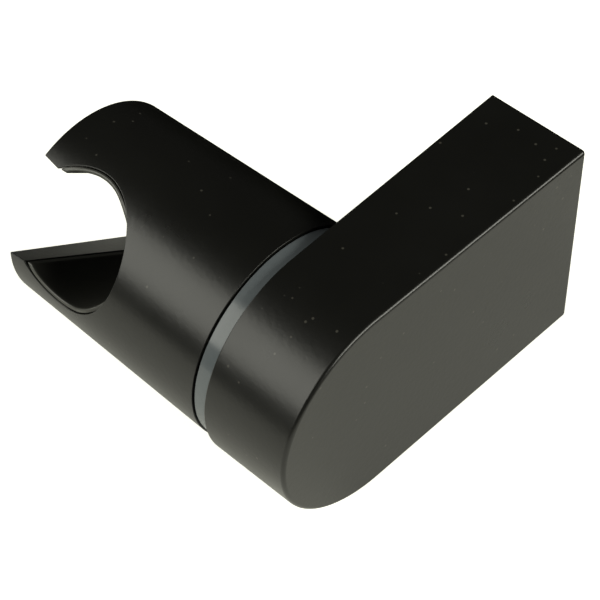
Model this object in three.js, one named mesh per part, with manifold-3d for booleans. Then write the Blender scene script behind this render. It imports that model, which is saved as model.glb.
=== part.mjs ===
// Wall bracket for a handheld shower: an arm housing that closes over a wall plate, and a round
// holder barrel that swivels on it and takes the handset's cone in a slanted, slotted bore.
// Millimetres, +Z up. The origin is the middle of the wall plate's back face; the wall is Y = 0,
// the bracket reaches out along -Y, and the swivel axis runs along X.
import * as THREE from 'three';
import { mergeVertices } from 'three/addons/utils/BufferGeometryUtils.js';
import Module from 'manifold-3d';

const wasm = await Module();
wasm.setup();
const degree = Math.PI / 180;

// Arm housing
const noseRadius = 20; // round end, and half the height
const reach = 46.6; // wall to swivel axis
const axisWidth = 17.2; // along X at the swivel axis
const faceDraft = 1.96 * degree; // lean of the plain +X face
const solidNose = 17.6; // swivel axis to the front of the cavity
const sideWall = 3.2; // beside the cavity, at the wall
const housingWall = 3.4; // above and below the cavity
const wallWidth = axisWidth + reach * Math.tan(faceDraft);
const cavityWidth = wallWidth - 2 * sideWall;
const cavityHeight = 2 * (noseRadius - housingWall);

// Wall plate, a channel bent from sheet, and the screws that hold things on it
const sheet = 2;
const plateGap = 0.3; // all round, in the cavity
const legLength = 12;
const wallScrewRadius = 2.3;
const wallScrewSinkRadius = 4.2;
const wallScrewFromLeg = 1.6; // edge of the countersink to the leg
const setScrewRadius = 2;
const threadGap = 0.3; // stands for the thread in every tapped hole
const lockScrewLength = 5;
const lockScrewFromWall = 7;
const lockScrewSunk = 0.5; // below the housing's lower face
const hubScrewLength = 6;
const hubFlatDepth = 1; // flat on the hub for the screw's point
const setScrewHex = 2; // across flats

// Swivel, measured from the housing's seat face towards the barrel
const ringStep = 0.94; // friction ring under the nose's round
const ringWidth = 2.9;
const seatGap = 0.1; // between pieces that are clamped together
const shadowGap = 0.3; // open joint between the friction ring and the barrel
const spigotRadius = 7;
const hubStep = 0.6; // hub's body over the spigot
const hubDepth = 11; // inside the housing
const spigotLength = 9.6; // outside the housing
const boreGap = 0.3; // hub in the housing, ring on the spigot
const runningGap = 0.1; // bush on the spigot
const bushWall = 1.4;
const webThickness = 3.4; // barrel wall that the bolt clamps
const boltRadius = 3;
const boltHeadRadius = 5;
const boltHeadHeight = 4;
const boltHex = 5; // across flats
const boltGrip = 8.5; // thread inside the housing
const washerRadius = 6.2;
const slipWasherWidth = 0.8;
const flatWasherWidth = 0.7;
const springCount = 4;
const springSheet = 0.5;
const springCone = 0.35; // height of each disc spring's cone
const lugRadius = 2;
const lugLength = 2;
const lugFromHub = 5.4; // middle of a lug to the hub's body
const sealFromEdge = 1.66; // middle of the seal to the ring's edge
const sealThickness = 1.2;
const spigotSealThickness = 1;
const spigotSealSunk = 0.2; // middle of the seal under the spigot's surface
const spigotSealFromSeat = 1.6;

// Holder barrel
const rootStep = 0.66; // barrel under the nose's round, at the friction ring
const barrelDraft = 1.237 * degree; // lean of the barrel's surface
const boltClearance = 1; // bolt head to the bore, on the swivel axis
const pocketWall = 3.6; // barrel wall round the casting pocket
const hubWall = 2; // round the bush
const pocketDepth = 10;

// Handset bore: a cone that crosses the barrel, sloping down towards the wall
const boreSlope = 35 * degree;
const boreRadius = 10.87; // in the barrel, on the swivel axis
const jawLip = 0.83; // barrel beyond the bore, at the free end
const boreTaper = 0.0516; // loss of radius for each millimetre towards the wall
const slotHalfWidth = 8.57; // at the free end
const slotFlare = 0.119; // loss of half width for each millimetre inwards
const slotDraft = 0.0176; // loss of half width for each millimetre towards the wall
const linerWall = 0.85;
const linerGap = 0.12; // liner in the barrel
const linerSunk = 0.15; // liner's mouths under the barrel's surface, where its square ends don't stop it first
const linerEndDrop = 4; // liner's square ends inside the nose's round
const linerSetback = 0.05; // liner's edges behind the slot's faces

const round = 72; // facets of a large circle
const small = 36; // facets of a small one
const beyond = 2; // how far a cutter runs past what it cuts

// Places along the swivel axis, from the seat face, negative towards the barrel
const ringFront = -(seatGap + ringWidth);
const barrelRoot = ringFront - shadowGap;
const bushSeatEnd = -spigotLength - 2 * seatGap;
const webOuter = bushSeatEnd - webThickness;
const springHeight = springSheet + springCone;
const slipWasherFace = webOuter - seatGap;
const springsFace = slipWasherFace - slipWasherWidth - seatGap;
const flatWasherFace = springsFace - springCount * (springHeight + seatGap);
const headFace = flatWasherFace - flatWasherWidth - seatGap;
const headEnd = headFace - boltHeadHeight;
const boreX = headEnd - boltClearance - boreRadius;
const barrelEnd = boreX - boreRadius - jawLip;
const linerLength = 2 * (noseRadius - linerEndDrop);

// Radii about the swivel axis
const hubRadius = spigotRadius + hubStep;
const ringRadius = noseRadius - ringStep;
const rootRadius = noseRadius - rootStep;
const endRadius = rootRadius - (barrelRoot - barrelEnd) * Math.tan(barrelDraft);
const lugFromAxis = hubRadius + lugFromHub;
const sealRadius = ringRadius - sealFromEdge;
const bushOuter = spigotRadius + runningGap + bushWall;
const bushSeatRadius = bushOuter + runningGap;

function solidOf(geometry) {
  geometry.deleteAttribute('normal');
  geometry.deleteAttribute('uv');
  const merged = mergeVertices(geometry, 1e-5);
  const mesh = new wasm.Mesh({
    numProp: 3,
    vertProperties: new Float32Array(merged.attributes.position.array),
    triVerts: new Uint32Array(merged.index.array),
  });
  return new wasm.Manifold(mesh);
}

function geometryOf(solid) {
  const mesh = solid.getMesh();
  const geometry = new THREE.BufferGeometry();
  geometry.setAttribute('position', new THREE.BufferAttribute(mesh.vertProperties, 3));
  geometry.setIndex(new THREE.BufferAttribute(mesh.triVerts, 1));
  return geometry;
}

// Round drum about the X axis, from the face at x = from to the face at x = to
function drum(from, to, radiusFrom, radiusTo = radiusFrom, facets = small) {
  const geometry = new THREE.CylinderGeometry(radiusTo, radiusFrom, to - from, facets);
  geometry.rotateZ(-Math.PI / 2);
  geometry.translate((from + to) / 2, 0, 0);
  return solidOf(geometry);
}

// Hexagonal drum about the X axis, by its size across flats
function hexDrum(from, to, acrossFlats) {
  return drum(from, to, acrossFlats / Math.sqrt(3), acrossFlats / Math.sqrt(3), 6);
}

function block(low, high) {
  const size = new THREE.Vector3().subVectors(high, low);
  const middle = new THREE.Vector3().addVectors(low, high).multiplyScalar(0.5);
  const geometry = new THREE.BoxGeometry(size.x, size.y, size.z);
  geometry.translate(middle.x, middle.y, middle.z);
  return solidOf(geometry);
}

// Flat ring about the X axis
function washer(from, to, inner, outer, facets = small) {
  return drum(from, to, outer, outer, facets).subtract(drum(from - beyond, to + beyond, inner, inner, facets));
}

function torusAboutX(radius, thickness, x) {
  const geometry = new THREE.TorusGeometry(radius, thickness / 2, 8, small);
  geometry.rotateY(Math.PI / 2);
  geometry.translate(x, 0, 0);
  return geometry;
}

function piece(name, shape, color, roughness, metalness) {
  const geometry = shape.isBufferGeometry ? shape : geometryOf(shape);
  const mesh = new THREE.Mesh(geometry, new THREE.MeshStandardMaterial({ color, roughness, metalness }));
  mesh.name = name;
  return mesh;
}

const blackPaint = [0x1d1c1b, 0.5, 0.1];
const blackPlastic = [0x0d0d0c, 0.55, 0];
const greyNylon = [0x4a5054, 0.3, 0];
const sheetSteel = [0xb9bbbd, 0.35, 0.9];
const boltSteel = [0x9fa2a4, 0.3, 0.95];
const springSteel = [0x77797c, 0.35, 0.95];
const brass = [0xb58f45, 0.3, 0.95];
const acetal = [0xe9e7e0, 0.4, 0];
const sealRubber = [0x161616, 0.8, 0];

// Side outline of the housing: a half round about the swivel axis, and straight back to the wall
function housingOutline() {
  const outline = new THREE.Shape();
  outline.moveTo(reach, noseRadius);
  outline.lineTo(0, noseRadius);
  outline.absarc(0, 0, noseRadius, Math.PI / 2, -Math.PI / 2, false);
  outline.lineTo(reach, -noseRadius);
  outline.closePath();
  return outline;
}

function armHousing() {
  const settings = { depth: wallWidth + beyond, bevelEnabled: false, curveSegments: round / 2 };
  const geometry = new THREE.ExtrudeGeometry(housingOutline(), settings);
  const sideways = new THREE.Matrix4().makeBasis(
    new THREE.Vector3(0, 1, 0),
    new THREE.Vector3(0, 0, 1),
    new THREE.Vector3(1, 0, 0),
  );
  geometry.applyMatrix4(sideways);
  const past = reach + noseRadius + beyond;
  const draftCut = new THREE.BoxGeometry(2 * wallWidth, 2 * past, 2 * past);
  draftCut.translate(wallWidth, 0, 0);
  draftCut.rotateZ(-faceDraft);
  draftCut.translate(axisWidth, 0, 0);
  const cavity = block(
    new THREE.Vector3(sideWall, solidNose, -cavityHeight / 2),
    new THREE.Vector3(wallWidth - sideWall, reach + beyond, cavityHeight / 2),
  );
  let housing = solidOf(geometry).subtract(solidOf(draftCut)).subtract(cavity);
  housing = housing.subtract(drum(-beyond, hubDepth + boreGap, hubRadius + boreGap));
  for (const side of [-1, 1]) {
    const lugHole = drum(-beyond, lugLength + boreGap, lugRadius + boreGap);
    housing = housing.subtract(lugHole.translate([0, 0, side * lugFromAxis]));
  }
  const hole = setScrewRadius + threadGap;
  const lockHole = drum(-noseRadius - beyond, -cavityHeight / 2 + beyond, hole).rotate([0, -90, 0]);
  const hubHole = drum(0, solidNose + beyond, hole).rotate([0, 0, 90]);
  housing = housing.subtract(lockHole.translate([wallWidth / 2, reach - lockScrewFromWall, 0]));
  return housing.subtract(hubHole.translate([hubDepth / 2, 0, 0]));
}

// Channel with its web against the wall and its two legs forward; the screws lie on a vertical line
function wallPlate() {
  const halfWidth = cavityWidth / 2 - plateGap;
  const halfHeight = cavityHeight / 2 - plateGap;
  const outside = block(
    new THREE.Vector3(-halfWidth, -legLength, -halfHeight),
    new THREE.Vector3(halfWidth, 0, halfHeight),
  );
  const inside = block(
    new THREE.Vector3(-halfWidth - beyond, -legLength - beyond, -halfHeight + sheet),
    new THREE.Vector3(halfWidth + beyond, -sheet, halfHeight - sheet),
  );
  const screwHeight = halfHeight - sheet - wallScrewSinkRadius - wallScrewFromLeg;
  let plate = outside.subtract(inside);
  for (const side of [-1, 1]) {
    const through = drum(-sheet - beyond, beyond, wallScrewRadius);
    const sink = drum(-sheet, -sheet / 4, wallScrewSinkRadius, wallScrewRadius);
    const cutter = through.add(sink).rotate([0, 0, 90]);
    plate = plate.subtract(cutter.translate([0, 0, side * screwHeight]));
  }
  const dimple = drum(-halfHeight - beyond, -halfHeight + sheet + beyond, setScrewRadius + threadGap);
  return plate.subtract(dimple.rotate([0, -90, 0]).translate([0, -lockScrewFromWall, 0]));
}

// Set screw along X with a cone point at the far end and a hexagon socket at x = 0
function setScrew(length) {
  const point = setScrewRadius / 2;
  const body = drum(0, length - point, setScrewRadius).add(drum(length - point, length, setScrewRadius, point));
  return body.subtract(hexDrum(-beyond, length / 2, setScrewHex));
}

function pivotHub() {
  const inHousing = drum(seatGap, hubDepth, hubRadius);
  const spigot = drum(-spigotLength, 2 * seatGap, spigotRadius);
  const groove = washer(
    -spigotSealFromSeat - spigotSealThickness / 2 - seatGap,
    -spigotSealFromSeat + spigotSealThickness / 2 + seatGap,
    spigotRadius - spigotSealSunk - spigotSealThickness / 2 - seatGap,
    spigotRadius + beyond,
  );
  const tapped = drum(-spigotLength - beyond, hubDepth + beyond, boltRadius + threadGap);
  const seat = block(
    new THREE.Vector3(hubDepth / 2 - setScrewRadius - threadGap, hubRadius - hubFlatDepth, -setScrewRadius - threadGap),
    new THREE.Vector3(hubDepth / 2 + setScrewRadius + threadGap, hubRadius + beyond, setScrewRadius + threadGap),
  );
  return inHousing.add(spigot).subtract(groove).subtract(tapped).subtract(seat);
}

function frictionRing() {
  let ring = washer(ringFront, -seatGap, spigotRadius + boreGap + runningGap, ringRadius, round);
  const grooveHalf = sealThickness / 2 + seatGap;
  const groove = washer(
    ringFront - beyond,
    ringFront + sealThickness + seatGap,
    sealRadius - grooveHalf,
    sealRadius + grooveHalf,
    round,
  );
  ring = ring.subtract(groove);
  for (const side of [-1, 1]) {
    const lug = drum(-2 * seatGap, lugLength, lugRadius);
    ring = ring.add(lug.translate([0, 0, side * lugFromAxis]));
  }
  return ring;
}

// Cone-shaped spring washer; turned = 1 opens towards +X and -1 towards -X
function discSpring(face, turned) {
  const inner = boltRadius + threadGap;
  const high = turned > 0 ? springCone : 0;
  const low = turned > 0 ? 0 : springCone;
  const profile = [
    new THREE.Vector2(inner, low),
    new THREE.Vector2(washerRadius, high),
    new THREE.Vector2(washerRadius, high + springSheet),
    new THREE.Vector2(inner, low + springSheet),
    new THREE.Vector2(inner, low),
  ];
  const geometry = new THREE.LatheGeometry(profile, small);
  geometry.rotateZ(-Math.PI / 2);
  geometry.translate(face - springHeight, 0, 0);
  return solidOf(geometry);
}

function pivotBolt() {
  const bolt = drum(headEnd, headFace, boltHeadRadius).add(drum(headFace - seatGap, boltGrip, boltRadius));
  return bolt.subtract(hexDrum(headEnd - beyond, headEnd + 0.6 * boltHeadHeight, boltHex));
}

// Cone along the handset bore's axis, larger than the bore by extra
function boreCone(extra, half = 2 * noseRadius) {
  const nearRadius = boreRadius + boreTaper * half + extra;
  const farRadius = boreRadius - boreTaper * half + extra;
  const geometry = new THREE.CylinderGeometry(farRadius, nearRadius, 2 * half, round);
  geometry.rotateX(-boreSlope);
  geometry.translate(boreX, 0, 0);
  return solidOf(geometry);
}

// Wedge that opens the bore through the barrel's free end, wider than the slot by extra on each side
function slotWedge(extra) {
  const half = 2 * noseRadius;
  const length = boreX - barrelEnd + beyond;
  const geometry = new THREE.BoxGeometry(length, 2 * half, 2);
  geometry.translate(boreX - length / 2, 0, 0);
  const place = geometry.attributes.position;
  for (let i = 0; i < place.count; i++) {
    const inwards = place.getX(i) - barrelEnd;
    const halfWidth = slotHalfWidth - slotFlare * inwards - slotDraft * place.getY(i) + extra;
    place.setZ(i, Math.sign(place.getZ(i)) * halfWidth);
  }
  geometry.rotateX(-boreSlope);
  return solidOf(geometry);
}

function barrelEnvelope(inset) {
  return drum(barrelEnd, barrelRoot, endRadius - inset, rootRadius - inset, round);
}

function holderBarrel() {
  const cuts = [
    boreCone(0),
    slotWedge(0),
    drum(bushSeatEnd, barrelRoot + beyond, bushSeatRadius),
    drum(boreX, webOuter, washerRadius + 2 * runningGap),
    drum(webOuter - beyond, barrelRoot, boltRadius + threadGap),
    washer(barrelRoot - pocketDepth, barrelRoot + beyond, bushSeatRadius + hubWall, rootRadius - pocketWall, round),
  ];
  return cuts.reduce((barrel, cut) => barrel.subtract(cut), barrelEnvelope(0));
}

function boreLiner() {
  const sleeve = boreCone(-linerGap, linerLength / 2).subtract(boreCone(-linerGap - linerWall));
  return sleeve.intersect(barrelEnvelope(linerSunk)).subtract(slotWedge(linerSetback));
}

function hubBush() {
  return washer(-spigotLength, barrelRoot - seatGap, spigotRadius + runningGap, bushOuter);
}

// Everything that sits on the swivel axis
function swivelGroup() {
  const group = new THREE.Group();
  group.position.set(-wallWidth / 2, -reach, 0);
  group.add(piece('arm_housing', armHousing(), ...blackPaint));
  group.add(piece('pivot_hub', pivotHub(), ...brass));
  const hubScrew = piece('hub_set_screw', setScrew(hubScrewLength), ...boltSteel);
  hubScrew.rotation.z = -Math.PI / 2;
  hubScrew.position.set(hubDepth / 2, hubRadius - hubFlatDepth + seatGap + hubScrewLength, 0);
  group.add(hubScrew);
  const spigotSeal = torusAboutX(spigotRadius - spigotSealSunk, spigotSealThickness, -spigotSealFromSeat);
  group.add(piece('spigot_o_ring', spigotSeal, ...sealRubber));
  group.add(piece('friction_ring', frictionRing(), ...greyNylon));
  const rimSeal = torusAboutX(sealRadius, sealThickness, ringFront + sealThickness / 2);
  group.add(piece('friction_o_ring', rimSeal, ...sealRubber));
  group.add(piece('pivot_bolt', pivotBolt(), ...boltSteel));
  const slipWasher = washer(slipWasherFace - slipWasherWidth, slipWasherFace, boltRadius + threadGap, washerRadius);
  group.add(piece('slip_washer', slipWasher, ...acetal));
  for (let n = 0; n < springCount; n++) {
    const spring = discSpring(springsFace - n * (springHeight + seatGap), n % 2 ? -1 : 1);
    group.add(piece(`disc_spring_${n + 1}`, spring, ...springSteel));
  }
  const flatWasher = washer(flatWasherFace - flatWasherWidth, flatWasherFace, boltRadius + threadGap, washerRadius);
  group.add(piece('flat_washer', flatWasher, ...boltSteel));
  group.add(piece('holder_barrel', holderBarrel(), ...blackPaint));
  group.add(piece('bore_liner', boreLiner(), ...blackPlastic));
  group.add(piece('hub_bush', hubBush(), ...acetal));
  return group;
}

// What stays with the wall, and the screw that locks the housing on it
function wallGroup() {
  const group = new THREE.Group();
  group.add(piece('wall_plate', wallPlate(), ...sheetSteel));
  const lockScrew = piece('lock_screw', setScrew(lockScrewLength), ...boltSteel);
  lockScrew.rotation.y = -Math.PI / 2;
  lockScrew.position.set(0, -lockScrewFromWall, -noseRadius + lockScrewSunk);
  group.add(lockScrew);
  return group;
}

const bracket = new THREE.Group();
bracket.add(wallGroup(), swivelGroup());

export default bracket;
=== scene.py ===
import math

import bpy
import numpy as np
from mathutils import Matrix, Vector
from mathutils.geometry import delaunay_2d_cdt
from mathutils.kdtree import KDTree


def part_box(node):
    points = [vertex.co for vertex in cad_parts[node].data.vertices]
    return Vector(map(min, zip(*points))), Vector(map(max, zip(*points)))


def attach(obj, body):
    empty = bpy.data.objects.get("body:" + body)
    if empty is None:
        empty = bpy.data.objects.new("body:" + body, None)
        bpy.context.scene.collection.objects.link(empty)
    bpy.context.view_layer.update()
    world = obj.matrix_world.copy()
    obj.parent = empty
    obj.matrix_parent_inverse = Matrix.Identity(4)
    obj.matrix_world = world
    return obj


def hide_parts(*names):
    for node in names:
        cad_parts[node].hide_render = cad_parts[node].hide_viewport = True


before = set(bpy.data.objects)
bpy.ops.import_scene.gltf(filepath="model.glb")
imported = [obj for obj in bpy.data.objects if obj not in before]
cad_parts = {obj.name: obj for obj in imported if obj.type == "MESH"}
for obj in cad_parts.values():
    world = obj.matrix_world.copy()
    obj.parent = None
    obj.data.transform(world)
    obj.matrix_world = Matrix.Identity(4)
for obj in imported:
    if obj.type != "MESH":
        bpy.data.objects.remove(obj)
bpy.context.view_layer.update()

metre = 1000  # millimetres, the unit of every size below
degree = math.pi / 180


def boxOf(node):
    low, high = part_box(node)
    return np.array(low) * metre, np.array(high) * metre


# places that every piece is built from, in the row frame
housingLow, housingHigh = boxOf("arm_housing")
barrelLow, barrelHigh = boxOf("holder_barrel")
ringLow, ringHigh = boxOf("friction_ring")
noseRadius = housingHigh[2]
axisPoint = np.array([0.0, housingLow[1] + noseRadius, 0.0])  # on the swivel axis
reach = -axisPoint[1]
seatX = housingLow[0]
xAxis = np.array([1.0, 0.0, 0.0])
yAxis = np.array([0.0, 1.0, 0.0])
zAxis = np.array([0.0, 0.0, 1.0])

# points round a whole circle
wideCount = 144  # barrel and ring
middleCount = 72  # hub, pocket and bore
holeCount = 48  # screw holes
smallCount = 36  # lugs


def xyOf(points):
    return points[:, :2]


def xzOf(points):
    return points[:, [0, 2]]


def yzOf(points):
    return points[:, 1:]


def closeRing(ring):
    return np.vstack([ring, ring[:1]])


# solids with rounded edges, from faces that meet
# a face is a function: points -> (distance outside the solid, direction out of it)
def flatFace(point, direction):
    direction = np.array(direction, float) / np.linalg.norm(direction)

    def face(points):
        return (points - np.array(point, float)) @ direction, np.tile(direction, (len(points), 1))

    return face


# a cone about axis: radius at centre, growth for each millimetre along it; hollow if the solid is
# round it
def roundFace(centre, axis, radius, growth=0.0, hollow=False):
    side = -1.0 if hollow else 1.0
    squeeze = side / math.hypot(1, growth)

    def face(points):
        offset = points - centre
        along = offset @ axis
        spoke = offset - along[:, None] * axis
        reachOut = np.linalg.norm(spoke, axis=1)
        distance = (reachOut - radius - growth * along) * squeeze
        return distance, (spoke / reachOut[:, None] - growth * axis) * squeeze

    return face


settleSteps = 14


# moves points until they lie depth under every face, by the shortest way
def settle(points, faces, depth):
    points = np.array(points, float).reshape(-1, 3)
    for _ in range(settleSteps):
        found = [face(points) for face in faces]
        error = np.stack([distance + depth for distance, _ in found], 1)
        slope = np.stack([direction for _, direction in found], 1)
        points = points - (np.linalg.pinv(slope) @ error[:, :, None])[:, :, 0]
    return points


def newShell():
    return {"points": [], "normals": [], "faces": []}


def addFaces(shell, points, normals, faces):
    first = len(shell["points"])
    shell["points"].extend(np.asarray(points, float).reshape(-1, 3))
    shell["normals"].extend(np.asarray(normals, float).reshape(-1, 3))
    shell["faces"].extend([first + int(i) for i in face] for face in faces)


def addGrid(shell, points, normals):
    rows, columns = points.shape[:2]
    place = np.arange(rows * columns).reshape(rows, columns)
    faces = np.stack([place[:-1, :-1], place[1:, :-1], place[1:, 1:], place[:-1, 1:]], -1).reshape(-1, 4)
    addFaces(shell, points, normals, faces)


# turns from one direction to another, by share of the angle
def between(first, second, share):
    angle = np.arccos(np.clip(np.sum(first * second, -1, keepdims=True), -1, 1))
    size = np.maximum(np.sin(angle), 1e-9)
    return (np.sin((1 - share) * angle) * first + np.sin(share * angle) * second) / size


roundSteps = 4  # faces across a rounded edge


# rounded edge that a ball rolling along centres leaves; returns its borders on the two faces
def addRound(shell, centres, faceA, faceB, radius):
    radius = np.broadcast_to(np.asarray(radius, float).reshape(-1, 1, 1), (len(centres), 1, 1))
    first, second = faceA(centres)[1][:, None], faceB(centres)[1][:, None]
    share = np.linspace(0, 1, roundSteps + 1)[None, :, None]
    direction = between(first, second, share)
    points = centres[:, None] + radius * direction
    addGrid(shell, points, direction)
    return points[:, 0], points[:, -1]


# piece of a ball where three rounded edges meet
def addCorner(shell, centre, faces, radius):
    directions = [face(centre[None])[1] for face in faces]
    rows, place = [], {}
    for i in range(roundSteps + 1):
        left = between(directions[0], directions[1], i / roundSteps)
        right = between(directions[0], directions[2], i / roundSteps)
        for j in range(i + 1):
            place[i, j] = len(rows)
            rows.append(between(left, right, j / i)[0] if i else left[0])
    triangles = []
    for i in range(roundSteps):
        for j in range(i + 1):
            triangles.append((place[i, j], place[i + 1, j], place[i + 1, j + 1]))
            if j < i:
                triangles.append((place[i, j], place[i + 1, j + 1], place[i, j + 1]))
    rows = np.array(rows)
    addFaces(shell, centre + radius * rows, rows, triangles)


# even-odd test of flat points against closed loops
def isInside(points, loops):
    inside = np.zeros(len(points), bool)
    for loop in loops:
        for (ax, ay), (bx, by) in zip(loop, np.roll(loop, -1, 0)):
            crosses = (ay > points[:, 1]) != (by > points[:, 1])
            if ay != by:
                at = ax + (points[:, 1] - ay) * (bx - ax) / (by - ay)
                inside ^= crosses & (points[:, 0] < at)
    return inside


leastRegion = 1e-3  # square millimetres; anything smaller is a sliver


# which triangles to keep: the loops part them into regions, and a region is in or out as a whole
def insideRegions(flat, triangles, edges, loops):
    walls = {tuple(sorted(edge)) for edge in edges}
    neighbour, region = {}, np.full(len(triangles), -1)
    for n, triangle in enumerate(triangles):
        for k in range(3):
            neighbour.setdefault(tuple(sorted((triangle[k], triangle[k - 1]))), []).append(n)
    corners = flat[triangles]
    spanA, spanB = corners[:, 1] - corners[:, 0], corners[:, 2] - corners[:, 0]
    area = np.abs(spanA[:, 0] * spanB[:, 1] - spanA[:, 1] * spanB[:, 0])
    inside = isInside(corners.mean(1), loops)
    keep = np.zeros(len(triangles), bool)
    for start in np.argsort(-area):
        if region[start] >= 0:
            continue
        region[start] = start
        found, waiting = [start], [start]
        while waiting:
            triangle = triangles[waiting.pop()]
            for k in range(3):
                edge = tuple(sorted((triangle[k], triangle[k - 1])))
                for n in neighbour[edge] if edge not in walls else ():
                    if region[n] < 0:
                        region[n] = start
                        found.append(n)
                        waiting.append(n)
        keep[found] = inside[start] and area[found].sum() > leastRegion
    return keep


patchTolerance = 1e-9


# fills the loops on a face with triangles; inner points keep a curved face round
def addPatch(shell, face, flatten, loops, inner=None, clear=0.5):
    edgePoints = np.concatenate(loops)
    flatLoops = [flatten(loop) for loop in loops]
    points = edgePoints
    if inner is not None and len(inner):
        flatInner = flatten(inner)
        keep = isInside(flatInner, flatLoops)
        inner = inner[keep]
        gap = np.array([np.min(np.sum((edgePoints - p) ** 2, 1)) for p in inner])
        points = np.concatenate([edgePoints, inner[gap > clear**2]]) if len(inner) else edgePoints
    flat = flatten(points)
    edges, first = [], 0
    for loop in loops:
        count = len(loop)
        edges += [(first + i, first + (i + 1) % count) for i in range(count)]
        first += count
    made = delaunay_2d_cdt([Vector(p) for p in flat], edges, [], 0, patchTolerance, True)
    source = [ids[0] for ids in made[3]]
    triangles = np.array([[source[i] for i in triangle] for triangle in made[2]])
    triangles = triangles[insideRegions(flat, triangles, edges, flatLoops)]
    addFaces(shell, points, face(points)[1], triangles)


# spreads a round wall out as a flat ring, wider with X; start is the X of the ring's middle
def ringFlat(start):

    def flatten(points):
        local = points - axisPoint
        turn = np.arctan2(local[:, 2], local[:, 1])
        size = points[:, 0] - start
        return np.stack([size * np.cos(turn), size * np.sin(turn)], 1)

    return flatten


# turns a profile of (along, radius) points about an axis, with sharp edges; the solid is on its left
def addLathe(shell, centre, axis, profile, count):
    side = np.cross(axis, [0.0, 0.0, 1.0] if abs(axis[2]) < 0.9 else [1.0, 0.0, 0.0])
    side = side / np.linalg.norm(side)
    other = np.cross(axis, side)
    turn = np.linspace(0, 2 * math.pi, count + 1)
    spokes = np.cos(turn)[:, None] * side + np.sin(turn)[:, None] * other
    spokes[-1] = spokes[0]
    for (alongA, radiusA), (alongB, radiusB) in zip(profile, profile[1:]):
        rise, run = radiusB - radiusA, alongB - alongA
        size = math.hypot(rise, run)
        normal = (-rise / size) * axis + (run / size) * spokes
        rimA = centre + alongA * axis + radiusA * spokes
        rimB = centre + alongB * axis + radiusB * spokes
        addGrid(shell, np.stack([rimA, rimB], 1), np.stack([normal, normal], 1))


# one closed loop from lines that follow each other and share their ends
def joinLoop(*parts):
    return np.concatenate([part[:-1] for part in parts])


def circle(centre, sideA, sideB, radius, count):
    turn = np.linspace(0, 2 * math.pi, count, endpoint=False)[:, None]
    return centre + radius * (np.cos(turn) * sideA + np.sin(turn) * sideB)


joinReach = 2e-4  # points nearer than this are one


# joins the shell's points where they meet and keeps each face's own directions for smooth shading
def makeObject(name, shell):
    points = np.array(shell["points"])
    tree = KDTree(len(points))
    for i, point in enumerate(points):
        tree.insert(point, i)
    tree.balance()
    same = np.full(len(points), -1)
    for i, point in enumerate(points):
        if same[i] < 0:
            for _, j, _ in tree.find_range(point, joinReach):
                if same[j] < 0:
                    same[j] = i
    used, place = np.unique(same, return_inverse=True)
    normals = np.array(shell["normals"])
    faces, directions = [], []
    for face in shell["faces"]:
        corners = [k for n, k in enumerate(face) if place[k] != place[face[n - 1]]]
        if len(corners) < 3:
            continue
        spot = points[corners]
        if len(corners) > 3:
            turn = np.cross(spot[2] - spot[0], spot[-1] - spot[1])
        else:
            turn = np.cross(spot[1] - spot[0], spot[2] - spot[0])
        if turn @ normals[corners].sum(0) < 0:
            corners.reverse()
        faces.append([int(place[k]) for k in corners])
        directions.extend(normals[corners])
    mesh = bpy.data.meshes.new(name)
    mesh.from_pydata([Vector(p / metre) for p in points[used]], [], faces)
    mesh.polygons.foreach_set("use_smooth", [True] * len(mesh.polygons))
    mesh.normals_split_custom_set([Vector(d).normalized() for d in directions])
    mesh.validate()
    made = bpy.data.objects.new(name, mesh)
    bpy.context.scene.collection.objects.link(made)
    edges = {}
    for face in faces:
        for n, k in enumerate(face):
            key = tuple(sorted((k, face[n - 1])))
            edges[key] = edges.get(key, 0) + 1
    loose = sum(1 for count in edges.values() if count != 2)
    print(f"{name}: {len(faces)} faces, {loose} open edges")
    return made


def finishPiece(made, body, slot, material, *nodes):
    made.data.materials.append(material)
    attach(made, body)
    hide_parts(*nodes)


# housing
housing = {
    "faceLean": 1.96 * degree,
    "axisWidth": 17.2,
    "faceEdge": 0.7,  # radius of the plain face's edge
    "seatEdge": 0.2,
    "wallAround": 3.4,  # above and below the cavity
    "wallBeside": 3.2,
    "solidNose": 17.6,
    "hubHole": 7.9,
    "hubHoleDepth": 11.3,
    "lugHole": 2.3,
    "lugHoleDepth": 2.3,
    "lugFromAxis": 13.0,
    "tapped": 2.3,
    "channel": 2.2,
    "hubScrewX": 5.5,
    "lockScrewFromWall": 7.0,
    "lockCountersink": 0.5,
    "noseSteps": 120,
    "flatSteps": 24,
    "wallSteps": 8,  # across the thickness, at the wall
    "uprightSteps": 12,
    # rows of points that keep the skin round: how far apart, and clear of the seat, the plain face and
    # the wall
    "rowSpacing": 1.7,
    "rowFromSeat": 1.2,
    "rowFromFace": 0.8,
    "rowFromWall": 0.6,
    "hubUnroll": 12.0,  # inner radius of the hub hole's wall when it is spread out flat
}


# half round about the swivel axis, and flat from there to the wall
def stadiumFace(points):
    local = points - axisPoint
    nose = local[:, 1] < 0
    spoke = np.where(nose[:, None], local * [0, 1, 1], local * [0, 0, 1])
    reachOut = np.linalg.norm(spoke, axis=1)
    return reachOut - noseRadius, spoke / reachOut[:, None]


# the same face unrolled: length along the outline from the top at the wall, and X
def stadiumFlat(points):
    local = points - axisPoint
    arc = noseRadius * np.arctan2(np.maximum(-local[:, 1], 0), local[:, 2])
    lower = reach + math.pi * noseRadius + local[:, 1]
    flat = np.where(local[:, 2] > 0, reach - local[:, 1], lower)
    return np.stack([np.where(local[:, 1] < 0, reach + arc, flat), points[:, 0]], 1)


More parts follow.
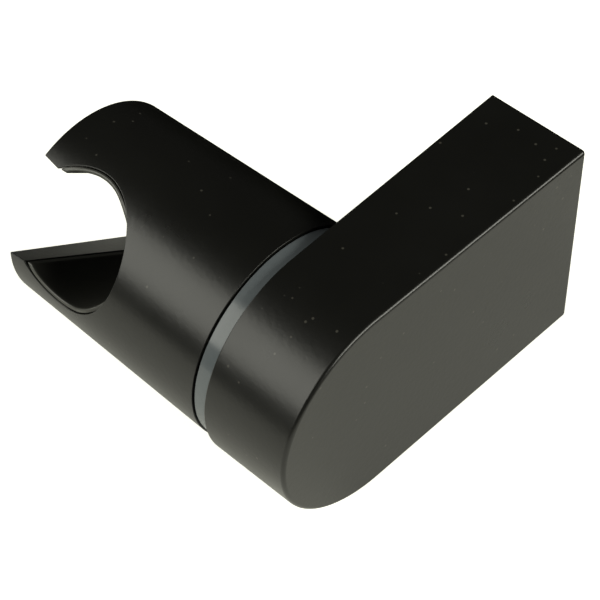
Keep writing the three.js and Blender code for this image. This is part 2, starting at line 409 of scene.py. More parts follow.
# outline from the top at the wall, round the nose, to the bottom at the wall, in the YZ plane
def stadiumPoints(inset, fromWall, arcCount, lineCount):
    radius = noseRadius - inset
    straight = np.linspace(-fromWall, axisPoint[1], lineCount + 1)
    turn = np.linspace(0, math.pi, arcCount + 1)[1:-1]
    top = np.stack([straight * 0, straight, straight * 0 + radius], 1)
    arc = np.stack([turn * 0, axisPoint[1] - radius * np.sin(turn), radius * np.cos(turn)], 1)
    return np.concatenate([top, arc, top[::-1] * [1, 1, -1]])


def buildHousing():
    h = housing
    shell = newShell()
    plainFace = flatFace(axisPoint + xAxis * (seatX + h["axisWidth"]), [1, -math.tan(h["faceLean"]), 0])
    seatFace = flatFace([seatX, 0, 0], [-1, 0, 0])
    wallFace = flatFace([0, 0, 0], [0, 1, 0])
    borders = {}
    corners = {}
    sides = (("plain", plainFace, h["faceEdge"]), ("seat", seatFace, h["seatEdge"]))
    for sideName, sideFace, radius in sides:
        guess = stadiumPoints(radius, radius, h["noseSteps"], h["flatSteps"])
        guess[:, 0] = housingHigh[0] - radius if sideName == "plain" else seatX + radius
        ends = settle(guess[[0, -1]], [stadiumFace, wallFace, sideFace], radius)
        spine = settle(guess, [stadiumFace, sideFace], radius)
        spine[[0, -1]] = ends
        corners[sideName] = ends
        borders[sideName] = addRound(shell, spine, stadiumFace, sideFace, radius)
        upright = np.linspace(ends[0], ends[1], h["uprightSteps"] + 1)
        borders[sideName + "Wall"] = addRound(shell, upright, wallFace, sideFace, radius)
        for end in ends:
            addCorner(shell, end, [stadiumFace, wallFace, sideFace], radius)
    level = {}
    for n, name in enumerate(("top", "bottom")):
        share = np.linspace(0, 1, h["wallSteps"] + 1)[:, None]
        line = corners["plain"][n] * (1 - share) + corners["seat"][n] * share
        radius = h["faceEdge"] + (h["seatEdge"] - h["faceEdge"]) * share[:, 0]
        line = settle(line, [stadiumFace, wallFace], radius)
        line[0], line[-1] = corners["plain"][n], corners["seat"][n]
        level[name] = addRound(shell, line, stadiumFace, wallFace, radius)
    # outer skin, with the lock screw's hole underneath
    skinLoop = [
        borders["plain"][0], level["bottom"][0][1:],
        borders["seat"][0][::-1][1:], level["top"][0][::-1][1:-1],
    ]
    down = np.array([0.0, 0.0, -1.0])
    lockCentre = np.array([0.0, -h["lockScrewFromWall"], -noseRadius])
    sinkRadius = h["tapped"] + h["lockCountersink"]
    lockRim = circle(lockCentre, xAxis, yAxis, sinkRadius, holeCount)
    row = stadiumPoints(0, h["rowFromWall"], h["noseSteps"], h["flatSteps"])
    places = np.arange(seatX + h["rowFromSeat"], housingHigh[0] - h["rowFromFace"], h["rowSpacing"])
    rows = [row + xAxis * x for x in places]
    addPatch(shell, stadiumFace, stadiumFlat, [np.concatenate(skinLoop), lockRim], np.concatenate(rows))
    # side faces
    plainLoop = [borders["plain"][1], borders["plainWall"][1][::-1][1:-1]]
    addPatch(shell, plainFace, yzOf, [np.concatenate(plainLoop)])
    hubRim = circle(axisPoint + xAxis * seatX, yAxis, down, h["hubHole"], middleCount)
    lugRims = [
        circle(axisPoint + [seatX, 0, side * h["lugFromAxis"]], yAxis, down, h["lugHole"], smallCount)
        for side in (-1, 1)
    ]
    seatLoop = np.concatenate([borders["seat"][1], borders["seatWall"][1][::-1][1:-1]])
    addPatch(shell, seatFace, yzOf, [seatLoop, hubRim, *lugRims])
    # back rim round the cavity
    halfWidth = -seatX - h["wallBeside"]
    halfHeight = noseRadius - h["wallAround"]
    front = axisPoint[1] + h["solidNose"]
    signs = ((-1, -1), (1, -1), (1, 1), (-1, 1))
    rim = np.array([[x * halfWidth, 0, z * halfHeight] for x, z in signs], float)
    wallLoop = [
        borders["plainWall"][0], level["bottom"][1][1:],
        borders["seatWall"][0][::-1][1:], level["top"][1][::-1][1:-1],
    ]
    addPatch(shell, wallFace, xzOf, [np.concatenate(wallLoop), rim])
    deep = rim + [0, front, 0]
    lockTop = np.array([0.0, -h["lockScrewFromWall"], -halfHeight])
    lockTopRim = circle(lockTop, xAxis, yAxis, h["tapped"], holeCount)
    floorLoop = np.stack([rim[0], rim[1], deep[1], deep[0]])
    addPatch(shell, flatFace([0, 0, -halfHeight], zAxis), xyOf, [floorLoop, lockTopRim])
    for a, b, direction in ((1, 2, (-1, 0, 0)), (2, 3, (0, 0, -1)), (3, 0, (1, 0, 0))):
        addFaces(shell, [rim[a], rim[b], deep[b], deep[a]], [direction] * 4, [(0, 1, 2, 3)])
    screwMiddle = np.array([seatX + h["hubScrewX"], front, 0.0])
    screwRim = circle(screwMiddle, xAxis, down, h["channel"], holeCount)
    addPatch(shell, flatFace([0, front, 0], [0, 1, 0]), xzOf, [deep, screwRim])
    lockFloor = noseRadius - halfHeight
    lockProfile = [(lockFloor, h["tapped"]), (h["lockCountersink"], h["tapped"]), (0, sinkRadius)]
    addLathe(shell, lockCentre, zAxis, lockProfile, holeCount)
    # hub's hole with the set screw's channel, and the lugs' holes
    hubFloor = h["hubHoleDepth"]
    hubWall = roundFace(axisPoint, xAxis, h["hubHole"], hollow=True)
    channel = roundFace(screwMiddle, yAxis, h["channel"], hollow=True)
    mouth = screwRim.copy()
    mouth[:, 1] = axisPoint[1] + np.sqrt(h["hubHole"] ** 2 - mouth[:, 2] ** 2)
    deepRim = hubRim + xAxis * hubFloor
    addPatch(shell, hubWall, ringFlat(seatX - h["hubUnroll"]), [hubRim, deepRim, mouth])
    addPatch(shell, flatFace([seatX + hubFloor, 0, 0], [-1, 0, 0]), yzOf, [deepRim])
    tube = np.stack([closeRing(mouth), closeRing(screwRim)], 1)
    addGrid(shell, tube, np.stack([channel(closeRing(mouth))[1]] * 2, 1))
    for side in (-1, 1):
        centre = axisPoint + [seatX, 0, side * h["lugFromAxis"]]
        lugProfile = [(0, h["lugHole"]), (h["lugHoleDepth"], h["lugHole"]), (h["lugHoleDepth"], 0)]
        addLathe(shell, centre, xAxis, lugProfile, smallCount)
    return makeObject("housing_shell", shell)


# holder barrel
barrel = {
    "draft": 1.237 * degree,
    "boreRadius": 10.87,
    "boreFromEnd": 11.7,
    "boreTaper": 0.0516,
    "boreSlope": 35 * degree,
    "slotHalfWidth": 8.57,
    "slotFlare": 0.119,
    "slotDraft": 0.0176,
    "edge": 0.15,  # radius of the edges at the mouths, the slot and the free end
    "rootEdge": 0.08,
    "pocketOuter": 15.74,
    "pocketInner": 10.6,
    "pocketDepth": 10.0,
    "bushSeat": 8.6,
    "bushSeatEnd": 9.8,  # from the housing's seat face, as the next one
    "webOuter": 13.2,
    "boltHole": 3.3,
    "recess": 6.4,
    "mouthSteps": 90,
    "lipSteps": 6,
    "slotSteps": 30,  # along the slot's edges through the barrel
    "cheekSteps": 60,
    # rings of points that keep the skin round: how far apart, and clear of the two ends
    "rowSpacing": 1.5,
    "rowFromEnd": 1.2,
    "rowFromRoot": 1.0,
    "skinUnroll": 20.0,  # inner radius of the skin when it is spread out flat
    "endGuess": 18.0,  # first guesses of the skin's radius, which settle corrects
    "skinGuess": 19.0,
}
barrelEnd, barrelRoot = barrelLow[0], barrelHigh[0]
boreCentre = axisPoint + xAxis * (barrelEnd + barrel["boreFromEnd"])
boreAxis = np.array([0.0, math.cos(barrel["boreSlope"]), -math.sin(barrel["boreSlope"])])
boreSide = np.array([0.0, math.sin(barrel["boreSlope"]), math.cos(barrel["boreSlope"])])


def barrelFace(inset):
    slope = math.tan(barrel["draft"])
    radius = barrelHigh[2] - (barrelRoot - barrelEnd) * slope - inset
    return roundFace(axisPoint + xAxis * barrelEnd, xAxis, radius, slope)


def boreFace(inset, hollow=True):
    return roundFace(boreCentre, boreAxis, barrel["boreRadius"] - inset, -barrel["boreTaper"], hollow)


def slotFace(side, setback=0.0):
    direction = -xAxis * barrel["slotFlare"] - barrel["slotDraft"] * boreAxis - side * boreSide
    point = axisPoint + xAxis * barrelEnd + side * boreSide * (barrel["slotHalfWidth"] + setback)
    return flatFace(point, direction)


def boreFlat(points):
    local = points - boreCentre
    turn = np.arctan2(local @ boreSide, local[:, 0])
    return np.stack([barrel["boreRadius"] * turn, local @ boreAxis], 1)


# points round the bore from one end to the other by way of the housing's side, at the barrel's
# surface
def mouthGuess(ends, radius, level, count):
    local = ends - boreCentre
    turns = np.arctan2(local @ boreSide, local[:, 0])
    turn = np.linspace(turns[0], turns[1], count + 1)[:, None]
    spoke = radius * (np.cos(turn) * xAxis + np.sin(turn) * boreSide)
    height = np.sqrt(barrelHigh[2] ** 2 - (spoke @ boreSide) ** 2)[:, None]
    return boreCentre + spoke + level * height * boreAxis


def boreCorner(side, level, faces, depth):
    radius = barrel["boreRadius"]
    half = barrel["slotHalfWidth"] - 1  # the slot is narrower at the bore
    guess = boreCentre - xAxis * math.sqrt(radius**2 - half**2) + side * half * boreSide
    guess = guess + level * math.sqrt(barrelHigh[2] ** 2 - half**2) * boreAxis
    return settle(guess, faces, depth)[0]


boreRows = {"half": 22.0, "spacing": 1.6, "count": 96}


# rows of points over a bore wall of that radius at its middle, to keep it round
def borePoints(radius):
    turn = np.linspace(-math.pi, math.pi, boreRows["count"], endpoint=False)[:, None]
    spoke = np.cos(turn) * xAxis + np.sin(turn) * boreSide
    rows = []
    for along in np.arange(-boreRows["half"], boreRows["half"] + 0.1, boreRows["spacing"]):
        rows.append(boreCentre + along * boreAxis + (radius - barrel["boreTaper"] * along) * spoke)
    return np.concatenate(rows)


def slotFlat(points):
    return np.stack([points[:, 0], (points - axisPoint) @ boreAxis], 1)


def buildBarrel():
    b = barrel
    r = b["edge"]
    shell = newShell()
    skin, bore = barrelFace(0), boreFace(0)
    endFace = flatFace([barrelEnd, 0, 0], [-1, 0, 0])
    rootFace = flatFace([barrelRoot, 0, 0], [1, 0, 0])
    slots = {side: slotFace(side) for side in (1, -1)}
    inner, outer = {}, {}  # middles of the balls at the corners, by side and level (-1 is the upper mouth)
    for side in (1, -1):
        for level in (-1, 1):
            inner[side, level] = boreCorner(side, level, [skin, bore, slots[side]], r)
            addCorner(shell, inner[side, level], [skin, bore, slots[side]], r)
            guess = axisPoint + xAxis * barrelEnd + side * b["slotHalfWidth"] * boreSide
            guess = guess + level * math.sqrt(barrelHigh[2] ** 2 - b["slotHalfWidth"] ** 2) * boreAxis
            outer[side, level] = settle(guess, [skin, endFace, slots[side]], r)[0]
            addCorner(shell, outer[side, level], [skin, endFace, slots[side]], r)
    mouth, lip, jaw, brow, cheek = {}, {}, {}, {}, {}
    for level in (-1, 1):
        ends = np.stack([inner[1, level], inner[-1, level]])
        spine = settle(mouthGuess(ends, b["boreRadius"] + r, level, b["mouthSteps"]), [skin, bore], r)
        spine[[0, -1]] = ends
        mouth[level] = addRound(shell, spine, skin, bore, r)
    for side in (1, -1):
        for level in (-1, 1):
            share = np.linspace(0, 1, b["lipSteps"] + 1)[:, None]
            line = inner[side, level] * (1 - share) + outer[side, level] * share
            spine = settle(line, [skin, slots[side]], r)
            spine[[0, -1]] = line[[0, -1]]
            lip[side, level] = addRound(shell, spine, skin, slots[side], r)
        share = np.linspace(0, 1, b["slotSteps"] + 1)[:, None]
        line = settle(inner[side, -1] * (1 - share) + inner[side, 1] * share, [bore, slots[side]], r)
        line[[0, -1]] = inner[side, -1], inner[side, 1]
        jaw[side] = addRound(shell, line, bore, slots[side], r)
        line = outer[side, -1] * (1 - share) + outer[side, 1] * share
        brow[side] = addRound(shell, line, slots[side], endFace, r)
        ends = np.stack([outer[side, -1], outer[side, 1]]) - axisPoint
        turns = np.arctan2(side * (ends @ boreAxis), side * (ends @ boreSide))
        turn = np.linspace(turns[0], turns[1], b["cheekSteps"] + 1)[:, None]
        spoke = side * (np.cos(turn) * boreSide + np.sin(turn) * boreAxis)
        arc = axisPoint + xAxis * (barrelEnd + r) + b["endGuess"] * spoke
        arc = settle(arc, [skin, endFace], r)
        arc[[0, -1]] = outer[side, -1], outer[side, 1]
        cheek[side] = addRound(shell, arc, skin, endFace, r)
        slotLoop = joinLoop(jaw[side][1], lip[side, 1][1], brow[side][0][::-1], lip[side, -1][1][::-1])
        addPatch(shell, slots[side], slotFlat, [slotLoop])
        addPatch(shell, endFace, yzOf, [joinLoop(cheek[side][1], brow[side][1][::-1])])
    rootEdge = b["rootEdge"]
    rootRing = circle(axisPoint + xAxis * (barrelRoot - rootEdge), yAxis, zAxis, b["skinGuess"], wideCount)
    rootRing = closeRing(settle(rootRing, [skin, rootFace], rootEdge))
    rootSkin, rootRim = addRound(shell, rootRing, skin, rootFace, rootEdge)
    notch = joinLoop(
        cheek[1][0], lip[1, 1][0][::-1], mouth[1][0], lip[-1, 1][0],
        cheek[-1][0][::-1], lip[-1, -1][0][::-1], mouth[-1][0][::-1], lip[1, -1][0],
    )
    rows = []
    for x in np.arange(barrelEnd + b["rowFromEnd"], barrelRoot - b["rowFromRoot"], b["rowSpacing"]):
        row = circle(axisPoint + xAxis * x, yAxis, zAxis, b["skinGuess"], wideCount)
        rows.append(settle(row, [skin], 0))
    unrolled = ringFlat(barrelEnd - b["skinUnroll"])
    addPatch(shell, skin, unrolled, [rootSkin[:-1], notch], np.concatenate(rows))
    # bore wall, open to the bolt's recess
    spoke = circle(0 * xAxis, yAxis, zAxis, 1, middleCount)
    across = b["recess"] * spoke
    recessRim = boreCentre + across
    radius = b["boreRadius"] - b["boreTaper"] * (across @ boreAxis)
    recessRim[:, 0] += np.sqrt(radius**2 - (across @ boreSide) ** 2)
    wallLoop = joinLoop(mouth[-1][1], jaw[-1][0], mouth[1][1][::-1], jaw[1][0][::-1])
    addPatch(shell, bore, boreFlat, [wallLoop, recessRim], borePoints(b["boreRadius"]))
    web = seatX - b["webOuter"]
    webRing = axisPoint + xAxis * web + b["recess"] * spoke
    tube = np.stack([closeRing(webRing), closeRing(recessRim)], 1)
    addGrid(shell, tube, np.stack([-closeRing(spoke)] * 2, 1))
    # inside, from the root face to the web that the bolt clamps
    pocket = barrelRoot - b["pocketDepth"]
    bushFloor = seatX - b["bushSeatEnd"]
    pocketRim = circle(axisPoint + xAxis * barrelRoot, yAxis, zAxis, b["pocketOuter"], middleCount)
    addPatch(shell, rootFace, yzOf, [rootRim[:-1], pocketRim])
    profile = [
        (barrelRoot, b["pocketOuter"]), (pocket, b["pocketOuter"]),
        (pocket, b["pocketInner"]), (barrelRoot, b["pocketInner"]),
        (barrelRoot, b["bushSeat"]), (bushFloor, b["bushSeat"]),
        (bushFloor, b["boltHole"]), (web, b["boltHole"]), (web, b["recess"]),
    ]
    addLathe(shell, axisPoint, xAxis, profile, middleCount)
    return makeObject("barrel_shell", shell)


# liner of the handset bore
liner = {
    "gap": 0.12,
    "wall": 0.85,
    "sunk": 0.15,
    "setback": 0.05,
    "length": 32.0,  # between the square ends
    "blend": 4.0,  # sharpness of the bend from the end's round part to its square part
    "edge": {"in": 0.45, "out": 0.12},
}


# the barrel's surface, a little under it, or the liner's square end where that comes first
def linerEnd(points):
    under, underWay = barrelFace(liner["sunk"])(points)
    along = (points - boreCentre) @ boreAxis
    square, squareWay = np.abs(along) - liner["length"] / 2, np.sign(along)[:, None] * boreAxis
    share = 1 / (1 + np.exp(liner["blend"] * (under - square)))[:, None]
    way = (1 - share) * underWay + share * squareWay
    bend = np.log1p(np.exp(-liner["blend"] * np.abs(under - square))) / liner["blend"]
    distance = np.maximum(under, square) + bend
    return distance, way / np.linalg.norm(way, axis=1)[:, None]


def buildLiner():
    n = liner
    shell = newShell()
    skin = linerEnd
    walls = {"in": boreFace(n["gap"] + n["wall"]), "out": boreFace(n["gap"], hollow=False)}
    slots = {side: slotFace(side, n["setback"]) for side in (1, -1)}
    corners, mouth, slotEdge = {}, {}, {}
    for name, wall in walls.items():
        r = n["edge"][name]
        for side in (1, -1):
            for level in (-1, 1):
                corners[name, side, level] = boreCorner(side, level, [skin, wall, slots[side]], r)
                addCorner(shell, corners[name, side, level], [skin, wall, slots[side]], r)
        inset = n["gap"] + (n["wall"] - r if name == "in" else r)
        for level in (-1, 1):
            ends = np.stack([corners[name, 1, level], corners[name, -1, level]])
            guess = mouthGuess(ends, barrel["boreRadius"] - inset, level, barrel["mouthSteps"])
            spine = settle(guess, [skin, wall], r)
            spine[[0, -1]] = ends
            mouth[name, level] = addRound(shell, spine, skin, wall, r)
        for side in (1, -1):
            share = np.linspace(0, 1, barrel["slotSteps"] + 1)[:, None]
            line = corners[name, side, -1] * (1 - share) + corners[name, side, 1] * share
            line = settle(line, [wall, slots[side]], r)
            line[[0, -1]] = corners[name, side, -1], corners[name, side, 1]
            slotEdge[name, side] = addRound(shell, line, slots[side], wall, r)
        loop = joinLoop(
            mouth[name, -1][1], slotEdge[name, -1][1],
            mouth[name, 1][1][::-1], slotEdge[name, 1][1][::-1],
        )
        radius = barrel["boreRadius"] - n["gap"] - (n["wall"] if name == "in" else 0)
        addPatch(shell, wall, boreFlat, [loop], borePoints(radius))
    for level in (-1, 1):
        rim = np.stack([mouth["in", level][0], mouth["out", level][0]], 1)
        addGrid(shell, rim, skin(rim.reshape(-1, 3))[1].reshape(rim.shape))
    for side in (1, -1):
        rim = np.stack([slotEdge["in", side][0], slotEdge["out", side][0]], 1)
        addGrid(shell, rim, slots[side](rim.reshape(-1, 3))[1].reshape(rim.shape))
        for level in (-1, 1):
            ends = np.stack([corners["in", side, level], corners["out", side, level]])
            addRound(shell, ends, skin, slots[side], list(n["edge"].values()))
    return makeObject("liner_sleeve", shell)


# friction ring
ring = {
    "edge": 0.08,
    "seatGap": 0.1,  # to the housing's seat
    "inner": 7.4,
    "groove": (16.7, 18.1),
    "grooveDepth": 1.3,
    "lug": 2.0,
    "lugLength": 2.0,
    "lugChamfer": 0.3,
    "lugFromAxis": 13.0,
}


def buildRing():
    g = ring
    shell = newShell()
    front, back = ringLow[0], seatX - g["seatGap"]
    radius = ringHigh[2]
    skin = roundFace(axisPoint, xAxis, radius)
    frontFace, backFace = flatFace([front, 0, 0], [-1, 0, 0]), flatFace([back, 0, 0], [1, 0, 0])
    borders = {}
    for name, face, x in (("front", frontFace, front + g["edge"]), ("back", backFace, back - g["edge"])):
        spine = closeRing(circle(axisPoint + xAxis * x, yAxis, zAxis, radius - g["edge"], wideCount))
        borders[name] = addRound(shell, spine, skin, face, g["edge"])
    band = np.stack([borders["front"][0], borders["back"][0]], 1)
    addGrid(shell, band, skin(band.reshape(-1, 3))[1].reshape(band.shape))
    lugs = [axisPoint + xAxis * back + side * g["lugFromAxis"] * zAxis for side in (-1, 1)]
    lugRims = [circle(spot, yAxis, zAxis, g["lug"], smallCount) for spot in lugs]
    inner = circle(axisPoint + xAxis * back, yAxis, zAxis, g["inner"], middleCount)
    addPatch(shell, backFace, yzOf, [borders["back"][1][:-1], inner, *lugRims])
    tip, chamfer = g["lugLength"], g["lugChamfer"]
    lugProfile = [(tip, 0), (tip, g["lug"] - chamfer), (tip - chamfer, g["lug"]), (0, g["lug"])]
    for spot in lugs:
        addLathe(shell, spot, xAxis, lugProfile, smallCount)
    low, high = g["groove"]
    grooveRim = circle(axisPoint + xAxis * front, yAxis, zAxis, high, middleCount)
    addPatch(shell, frontFace, yzOf, [borders["front"][1][:-1], grooveRim])
    floor = front + g["grooveDepth"]
    profile = [
        (back, g["inner"]), (front, g["inner"]), (front, low),
        (floor, low), (floor, high), (front, high),
    ]
    addLathe(shell, axisPoint, xAxis, profile, middleCount)
    return makeObject("ring_band", shell)


# materials
# sRGB hex to a linear colour
def linear(code):
    parts = [int(code[i:i + 2], 16) / 255 for i in (1, 3, 5)]
    return [v / 12.92 if v <= 0.04045 else ((v + 0.055) / 1.055) ** 2.4 for v in parts] + [1]


# adds a node; settings are its own values or its sockets' values, links go from other sockets into
# its sockets
def addNode(tree, kind, settings=None, links=None):
    node = tree.nodes.new(kind)
    for name, value in (settings or {}).items():
        if isinstance(name, str) and hasattr(node, name):
            setattr(node, name, value)
        else:
            node.inputs[name].default_value = value
    for name, source in (links or {}).items():
        tree.links.new(source, node.inputs[name])
    return node


def newMaterial(name):
    material = bpy.data.materials.new(name)
    material.use_nodes = True
    tree = material.node_tree
    tree.nodes.clear()
    return material, tree


def surfaceOf(tree, settings, links):
    shader = addNode(tree, "ShaderNodeBsdfPrincipled", settings, links)
    addNode(tree, "ShaderNodeOutputMaterial", links={"Surface": shader.outputs[0]})
    return shader


# noise scale whose features are that size
def perMetre(millimetres):
    return metre / millimetres


noiseSpan = {"From Min": 0.3, "From Max": 0.7}  # where most of a noise's values lie


satinPaint = {
    "black": "#131311",
    "worn": "#191917",
    "dust": "#4c4a44",
    "roughness": (0.27, 0.31),
    "wear": 14.0,  # mm between the patches of rougher paint
    "peel": 0.9,  # mm between the ripples of the sprayed coat; real 0.3, drawn coarser so that it shows
    "peelHeight": 0.00006,  # metres
    "peelStrength": 0.25,
    "dustSpacing": 3.2,  # mm
    "dustSize": (0.08, 0.05),  # of the spacing, outside and inside
}


# sprayed satin lacquer on die-cast zinc: nearly black from above, a soft broad sheen, brighter at
# grazing angles
def makePaint():
    p = satinPaint
    material, tree = newMaterial("sprayed_satin_lacquer")
    where = addNode(tree, "ShaderNodeTexCoord").outputs["Object"]
    cloud = addNode(
        tree, "ShaderNodeTexNoise", {"Scale": perMetre(p["wear"]), "Detail": 3.0}, {"Vector": where},
    )
    fine = addNode(
        tree, "ShaderNodeTexNoise", {"Scale": perMetre(p["peel"]), "Detail": 2.0}, {"Vector": where},
    )
    rough = addNode(
        tree, "ShaderNodeMapRange",
        {**noiseSpan, "To Min": p["roughness"][0], "To Max": p["roughness"][1]},
        {"Value": cloud.outputs["Fac"]},
    )
    tint = addNode(
        tree, "ShaderNodeMix",
        {"data_type": "RGBA", 6: linear(p["black"]), 7: linear(p["worn"])},
        {0: cloud.outputs["Fac"]},
    )
    speck = addNode(tree, "ShaderNodeTexVoronoi", {"Scale": perMetre(p["dustSpacing"])}, {"Vector": where})
    dust = addNode(
        tree, "ShaderNodeMapRange",
        {"From Min": p["dustSize"][0], "From Max": p["dustSize"][1], "To Min": 0.0, "To Max": 0.8},
        {"Value": speck.outputs["Distance"]},
    )
    colour = addNode(
        tree, "ShaderNodeMix",
        {"data_type": "RGBA", 7: linear(p["dust"])},
        {0: dust.outputs[0], 6: tint.outputs[2]},
    )
    bump = addNode(
        tree, "ShaderNodeBump",
        {"Strength": p["peelStrength"], "Distance": p["peelHeight"]},
        {"Height": fine.outputs["Fac"]},
    )
    surfaceOf(
        tree,
        {"IOR": 1.5, "Metallic": 0.0},
        {"Base Color": colour.outputs[2], "Roughness": rough.outputs[0], "Normal": bump.outputs[0]},
    )
    return material


grainRelief = {"Strength": 0.2, "Distance": 0.00002}  # metres


# a finish whose colour and gloss drift over patches of the grain's size, in millimetres
def plainFinish(name, colour, other, roughness, grain, metallic=0.0, spread=0.06):
    material, tree = newMaterial(name)
    where = addNode(tree, "ShaderNodeTexCoord").outputs["Object"]
    noise = addNode(tree, "ShaderNodeTexNoise", {"Scale": perMetre(grain), "Detail": 4.0}, {"Vector": where})
    rough = addNode(
        tree, "ShaderNodeMapRange",
        {**noiseSpan, "To Min": roughness - spread, "To Max": roughness + spread},
        {"Value": noise.outputs["Fac"]},
    )
    tint = addNode(
        tree, "ShaderNodeMix",
        {"data_type": "RGBA", 6: linear(colour), 7: linear(other)},
        {0: noise.outputs["Fac"]},
    )
    bump = addNode(tree, "ShaderNodeBump", grainRelief, {"Height": noise.outputs["Fac"]})
    surfaceOf(
        tree,
        {"Metallic": metallic} if metallic else {"IOR": 1.5},
        {"Base Color": tint.outputs[2], "Roughness": rough.outputs[0], "Normal": bump.outputs[0]},
    )
    return material


linerFinish = {
    "inside": "#2f2f2c",
    # the rim's paler colour, lower roughness and higher gloss below are a painted highlight on the rim
    "rim": "#4a4a46",
    "roughness": (0.8, 0.3),  # inside, rim
    "gloss": (0.03, 0.5),  # inside, rim
    "rimHighlightTurn": (0.78, 0.88),  # how squarely a face looks along the bore before it counts as rim
}


# moulded black acetal, eroded matt inside so that the bore reads as a dark hole, with a smoother rim
# that is painted paler and glossier where it faces along the bore: a painted highlight
def makeLinerPlastic():
    f = linerFinish
    material, tree = newMaterial("moulded_black_acetal")
    facing = addNode(tree, "ShaderNodeTexCoord").outputs["Normal"]
    along = addNode(
        tree, "ShaderNodeVectorMath", {"operation": "DOT_PRODUCT", 1: tuple(boreAxis)}, {0: facing},
    )
    size = addNode(tree, "ShaderNodeMath", {"operation": "ABSOLUTE"}, {0: along.outputs["Value"]})
    # mask of the faces that look along the bore, where the painted highlight goes
    rim = addNode(
        tree, "ShaderNodeMapRange",
        {"From Min": f["rimHighlightTurn"][0], "From Max": f["rimHighlightTurn"][1]}, {"Value": size.outputs[0]},
    )
    tint = addNode(
        tree, "ShaderNodeMix",
        {"data_type": "RGBA", 6: linear(f["inside"]), 7: linear(f["rim"])},
        {0: rim.outputs[0]},
    )
    rough = addNode(
        tree, "ShaderNodeMapRange",
        {"To Min": f["roughness"][0], "To Max": f["roughness"][1]}, {"Value": rim.outputs[0]},
    )
    gloss = addNode(
        tree, "ShaderNodeMapRange",
        {"To Min": f["gloss"][0], "To Max": f["gloss"][1]}, {"Value": rim.outputs[0]},
    )
    links = {"Base Color": tint.outputs[2], "Roughness": rough.outputs[0]}
    links["Specular IOR Level"] = gloss.outputs[0]
    surfaceOf(tree, {"IOR": 1.5}, links)
    return material


paint = makePaint()
linerPlastic = makeLinerPlastic()
# smooth grey ring, the glossiest piece, with a clear bright line from the light above
ringNylon = plainFinish("moulded_grey_nylon", "#62686c", "#696f73", 0.16, 1.2, spread=0.03)
# pale patchy grey with a soft shine
galvanised = plainFinish("galvanised_steel_sheet", "#a9abad", "#c3c5c6", 0.38, 3.0, metallic=1.0)
# brighter, even silver
zincScrew = plainFinish("zinc_plated_steel", "#b6b7b8", "#cccdce", 0.3, 0.6, metallic=1.0)
# darker grey steel
springTemper = plainFinish("tempered_spring_steel", "#6d6f73", "#8a8c8f", 0.33, 0.7, metallic=1.0)
# warm yellow with a sharp shine
turnedBrass = plainFinish("turned_brass", "#c9a35a", "#d8b56e", 0.28, 0.5, metallic=1.0)
# off-white, waxy and dull
whiteAcetal = plainFinish("moulded_white_acetal", "#e6e4dc", "#efede6", 0.42, 1.0)
# matt black, with hardly any shine
nitrile = plainFinish("nitrile_rubber", "#151515", "#1d1d1c", 0.75, 0.5)
print("materials made")

# the pieces that show
finishPiece(buildHousing(), "arm", "housing_paint", paint, "arm_housing")
finishPiece(buildBarrel(), "holder", "barrel_paint", paint, "holder_barrel")
finishPiece(buildLiner(), "holder", "liner_plastic", linerPlastic, "bore_liner")
finishPiece(buildRing(), "arm", "ring_nylon", ringNylon, "friction_ring")

carriedOver = {
    "wall_plate": galvanised,
    "lock_screw": zincScrew,
    "hub_set_screw": zincScrew,
    "pivot_bolt": zincScrew,
    "flat_washer": zincScrew,
    "slip_washer": whiteAcetal,
    "hub_bush": whiteAcetal,
    "pivot_hub": turnedBrass,
    "spigot_o_ring": nitrile,
    "friction_o_ring": nitrile,
    "disc_spring_1": springTemper,
    "disc_spring_2": springTemper,
    "disc_spring_3": springTemper,
    "disc_spring_4": springTemper,
}
for node, material in carriedOver.items():
    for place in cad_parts[node].material_slots:
        place.material = material
print("inner pieces finished")

# stage
stageSizes = {
    "floorSize": 6.0,
    "floorColour": "#f6f6ee",
    "floorGlow": 0.175,
    "floorGlowSeen": 0.85,
    # lit part of the table in strips: their X from and to, and their Y at the back
    "litStrips": [(-0.15, -0.072, -0.008), (-0.072, 0.005, -0.024), (0.005, 0.11, 0.035)],
    "litFront": -0.21,
    "cardReach": 2.5,
    "cardLift": 0.001,  # over the table
    "boxColour": "#fdfdf1",
    "boxDistance": 0.9,
    "roomSeen": "#f2f2f0",
    "room": "#55565a",
    "roomGlow": 0.14,
}
floorLevel = -noseRadius / metre


def addStage(name, mesh, material):
    made = bpy.data.objects.new(name, mesh)
    bpy.context.scene.collection.objects.link(made)
    made.data.materials.append(material)
    return made


half = stageSizes["floorSize"] / 2
floorMaterial, floorTree = newMaterial("matt_white_table")
floorSeen = addNode(floorTree, "ShaderNodeLightPath").outputs["Is Camera Ray"]
floorGlow = addNode(
    floorTree, "ShaderNodeMapRange",
    {"To Min": stageSizes["floorGlow"], "To Max": stageSizes["floorGlowSeen"]}, {"Value": floorSeen},
)
surfaceOf(
    floorTree,
    {"Base Color": linear(stageSizes["floorColour"]), "Roughness": 0.9, "Specular IOR Level": 0.0,
     "Emission Color": linear(stageSizes["floorColour"])},
    {"Emission Strength": floorGlow.outputs[0]},
)
floorCorners = [(x * half, y * half, floorLevel) for x, y in ((-1, -1), (1, -1), (1, 1), (-1, 1))]
floorMesh = bpy.data.meshes.new("floor")
floorMesh.from_pydata(floorCorners, [], [(0, 1, 2, 3)])
addStage("floor", floorMesh, floorMaterial)

# black card round the lit part of the table, which only reflections see
cardMaterial, cardTree = newMaterial("black_card")
surfaceOf(cardTree, {"Base Color": linear("#050505"), "Roughness": 1.0, "Specular IOR Level": 0.0}, {})
cardMesh = bpy.data.meshes.new("dark_surround")
strips = stageSizes["litStrips"]
cardReach = stageSizes["cardReach"]
cardLevel = floorLevel + stageSizes["cardLift"]
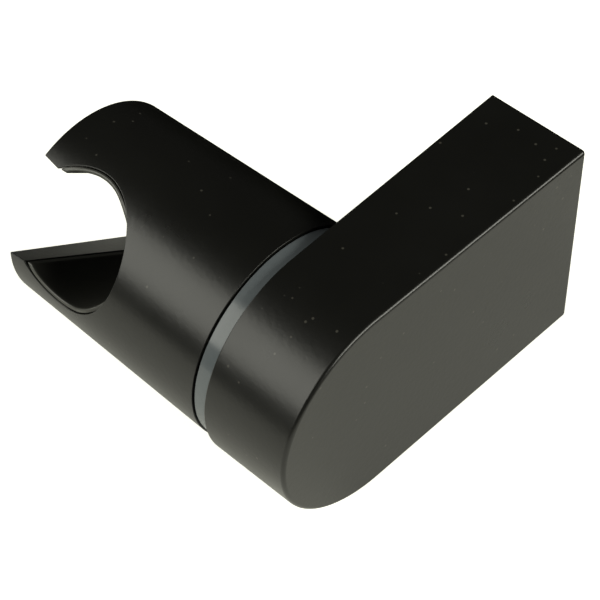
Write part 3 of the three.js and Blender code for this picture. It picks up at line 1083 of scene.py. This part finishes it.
# each sheet of card: its X from and to, and its Y from and to
sheets = [
    (-cardReach, strips[0][0], -cardReach, cardReach),
    (strips[-1][1], cardReach, -cardReach, cardReach),
    (strips[0][0], strips[-1][1], -cardReach, stageSizes["litFront"]),
]
sheets += [(left, right, back, cardReach) for left, right, back in strips]
corners = []
for left, right, front, back in sheets:
    corners += [(x, y, cardLevel) for x, y in ((left, front), (right, front), (right, back), (left, back))]
cardMesh.from_pydata(corners, [], [tuple(range(4 * n, 4 * n + 4)) for n in range(len(sheets))])
card = addStage("dark_surround", cardMesh, cardMaterial)
card.visible_camera = False
card.visible_diffuse = False
card.visible_shadow = False
card.visible_transmission = False

swivel = Vector(axisPoint / metre)

softBoxes = {
    "front_box": {"direction": (-0.528, -0.675, 0.522), "width": 1.17, "height": 0.575, "power": 6.6},
    "side_box": {"direction": (0.851, 0.277, 0.446), "width": 0.86, "height": 0.36, "power": 8.0},
}


def addSoftBox(name):
    box = softBoxes[name]
    light = bpy.data.lights.new(name, "AREA")
    light.shape = "RECTANGLE"
    light.size, light.size_y = box["width"], box["height"]
    light.energy = box["power"]
    light.color = linear(stageSizes["boxColour"])[:3]
    made = bpy.data.objects.new(name, light)
    direction = Vector(box["direction"]).normalized()
    made.location = swivel + direction * stageSizes["boxDistance"]
    made.rotation_mode = "QUATERNION"
    made.rotation_quaternion = direction.to_track_quat("Z", "Y")
    bpy.context.scene.collection.objects.link(made)


for name in softBoxes:
    addSoftBox(name)

world = bpy.data.worlds.new("room")
bpy.context.scene.world = world
world.use_nodes = True
world.node_tree.nodes.clear()
seen = addNode(world.node_tree, "ShaderNodeLightPath").outputs["Is Camera Ray"]
pale = addNode(world.node_tree, "ShaderNodeBackground", {"Color": linear(stageSizes["roomSeen"])})
dim = addNode(
    world.node_tree, "ShaderNodeBackground",
    {"Color": linear(stageSizes["room"]), "Strength": stageSizes["roomGlow"]},
)
mixed = addNode(
    world.node_tree, "ShaderNodeMixShader", links={0: seen, 1: dim.outputs[0], 2: pale.outputs[0]},
)
addNode(world.node_tree, "ShaderNodeOutputWorld", links={"Surface": mixed.outputs[0]})

# camera
cameraPlace = {
    "azimuth": 45.51 * degree,
    "elevation": 50.28 * degree,
    "roll": -2.82 * degree,
    "distance": 0.280748,
    "right": 0.000726,
    "up": 0.006764,
    "lens": 108.05,
}


def placeCamera():
    c = cameraPlace
    level = Vector((math.cos(c["azimuth"]), math.sin(c["azimuth"]), 0))
    out = Vector((math.sin(c["azimuth"]), -math.cos(c["azimuth"]), 0))
    back = out * math.cos(c["elevation"]) + Vector((0, 0, math.sin(c["elevation"])))
    rise = back.cross(level)
    right = math.cos(c["roll"]) * level + math.sin(c["roll"]) * rise
    up = math.cos(c["roll"]) * rise - math.sin(c["roll"]) * level
    data = bpy.data.cameras.new("camera")
    data.sensor_width = 36
    data.lens = c["lens"]
    data.clip_start = 0.01
    made = bpy.data.objects.new("camera", data)
    bpy.context.scene.collection.objects.link(made)
    seatPoint = Vector((seatX / metre, swivel.y, 0))  # where the swivel axis meets the housing
    spot = seatPoint + back * c["distance"] + right * c["right"] + up * c["up"]
    frameAxes = Matrix((right, up, back)).transposed().to_4x4()
    made.matrix_world = Matrix.Translation(spot) @ frameAxes
    bpy.context.scene.camera = made


placeCamera()
bpy.context.scene.view_settings.view_transform = "Standard"
bpy.context.scene.view_settings.look = "None"
print("stage and camera set")
